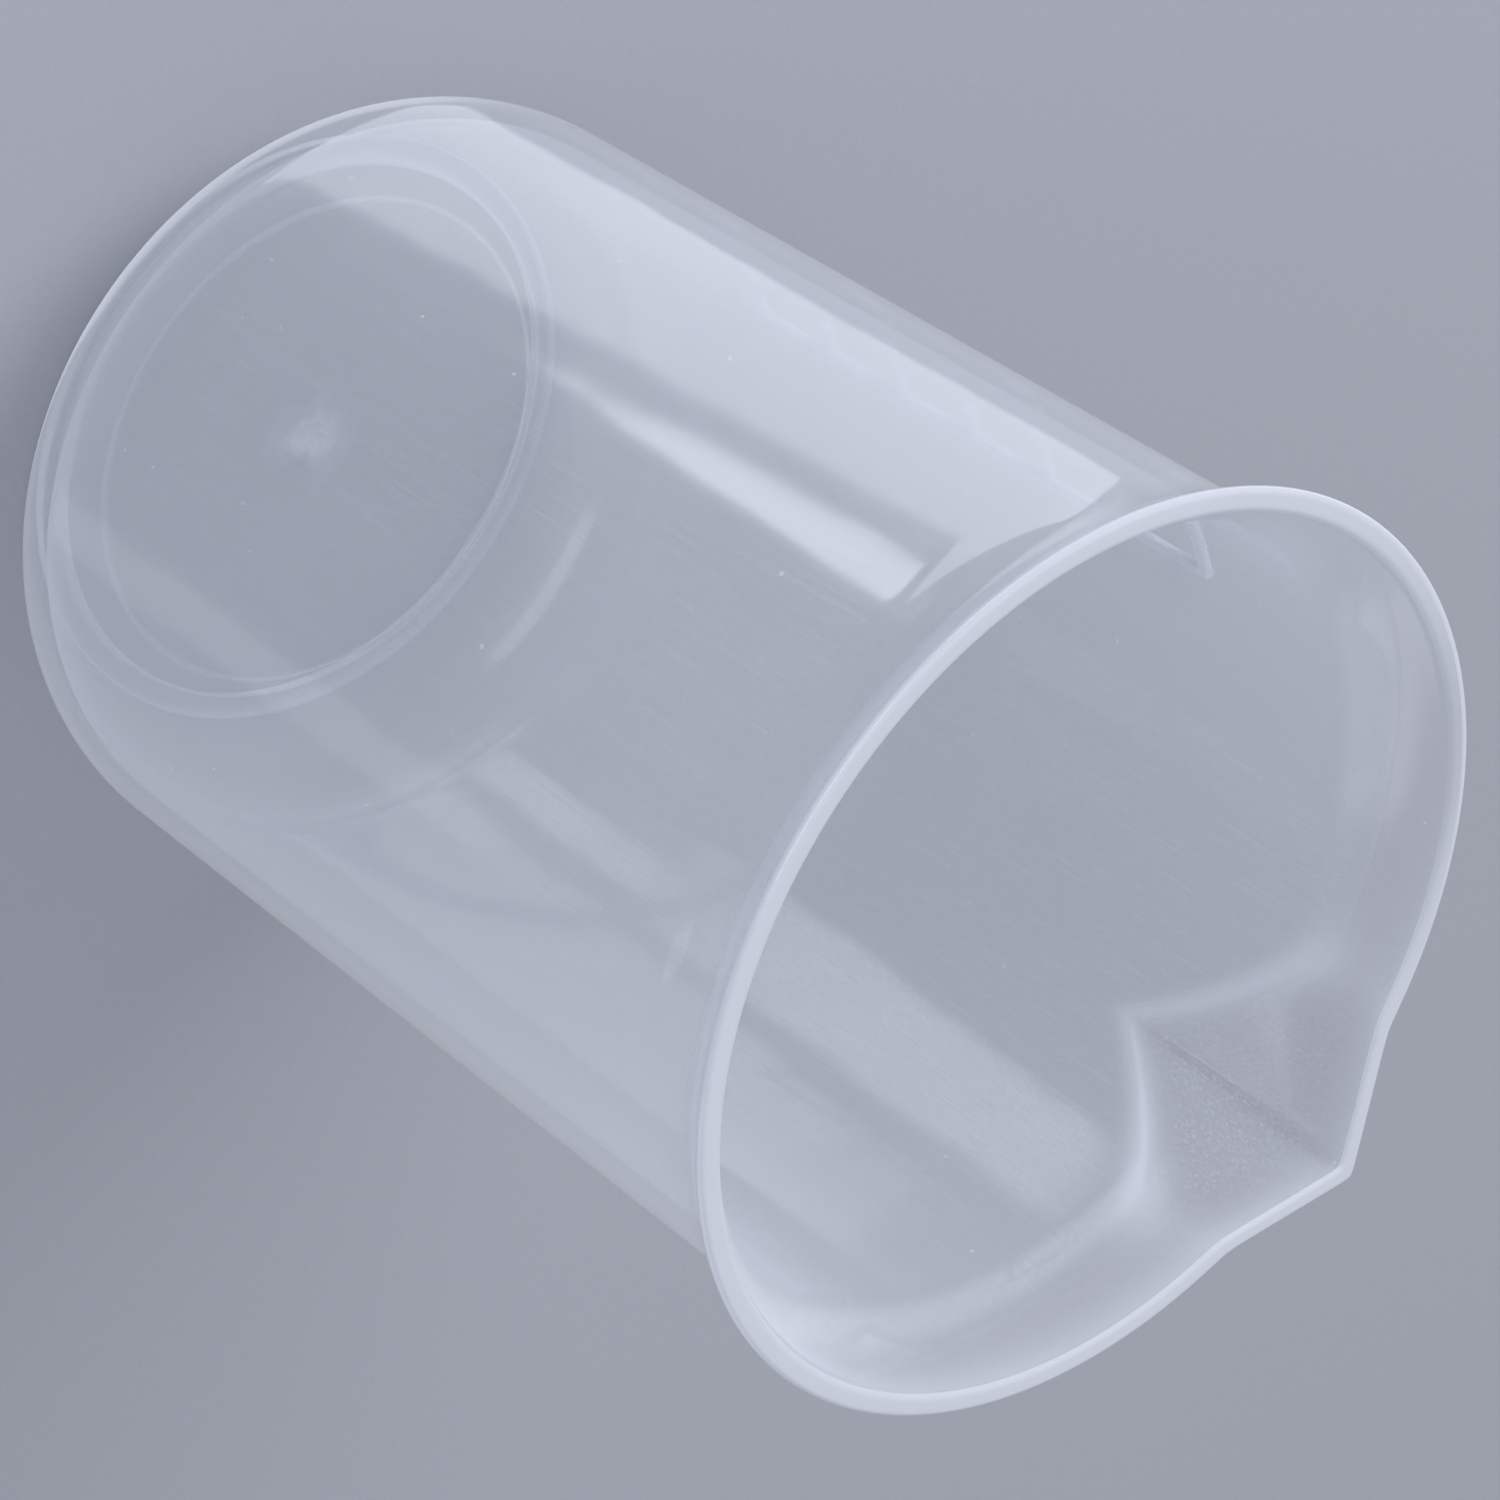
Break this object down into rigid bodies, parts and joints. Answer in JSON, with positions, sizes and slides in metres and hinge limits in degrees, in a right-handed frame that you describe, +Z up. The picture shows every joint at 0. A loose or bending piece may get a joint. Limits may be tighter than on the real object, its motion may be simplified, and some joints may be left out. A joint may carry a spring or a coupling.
{
  "type": "resin mixing cup",
  "caption": "Small translucent plastic beaker with a flared rim, a V-shaped folded pouring spout, rounded base corners and a narrow foot ring, for measuring and mixing resin.",
  "frame": {"origin": "centre of the foot ring's resting plane, on the cup's axis", "axes": "+Z up along the cup's axis towards the mouth, +X towards the spout, +Y on the side that carries the volume scale"},
  "size_m": [0.0576, 0.053, 0.07],
  "materials": {
    "milky_plastic": "natural polypropylene, milky and translucent, smooth moulded surface with fine handling scratches"
  },
  "bodies": {
    "root": {"cup": "milky_plastic"}
  },
  "joints": []
}
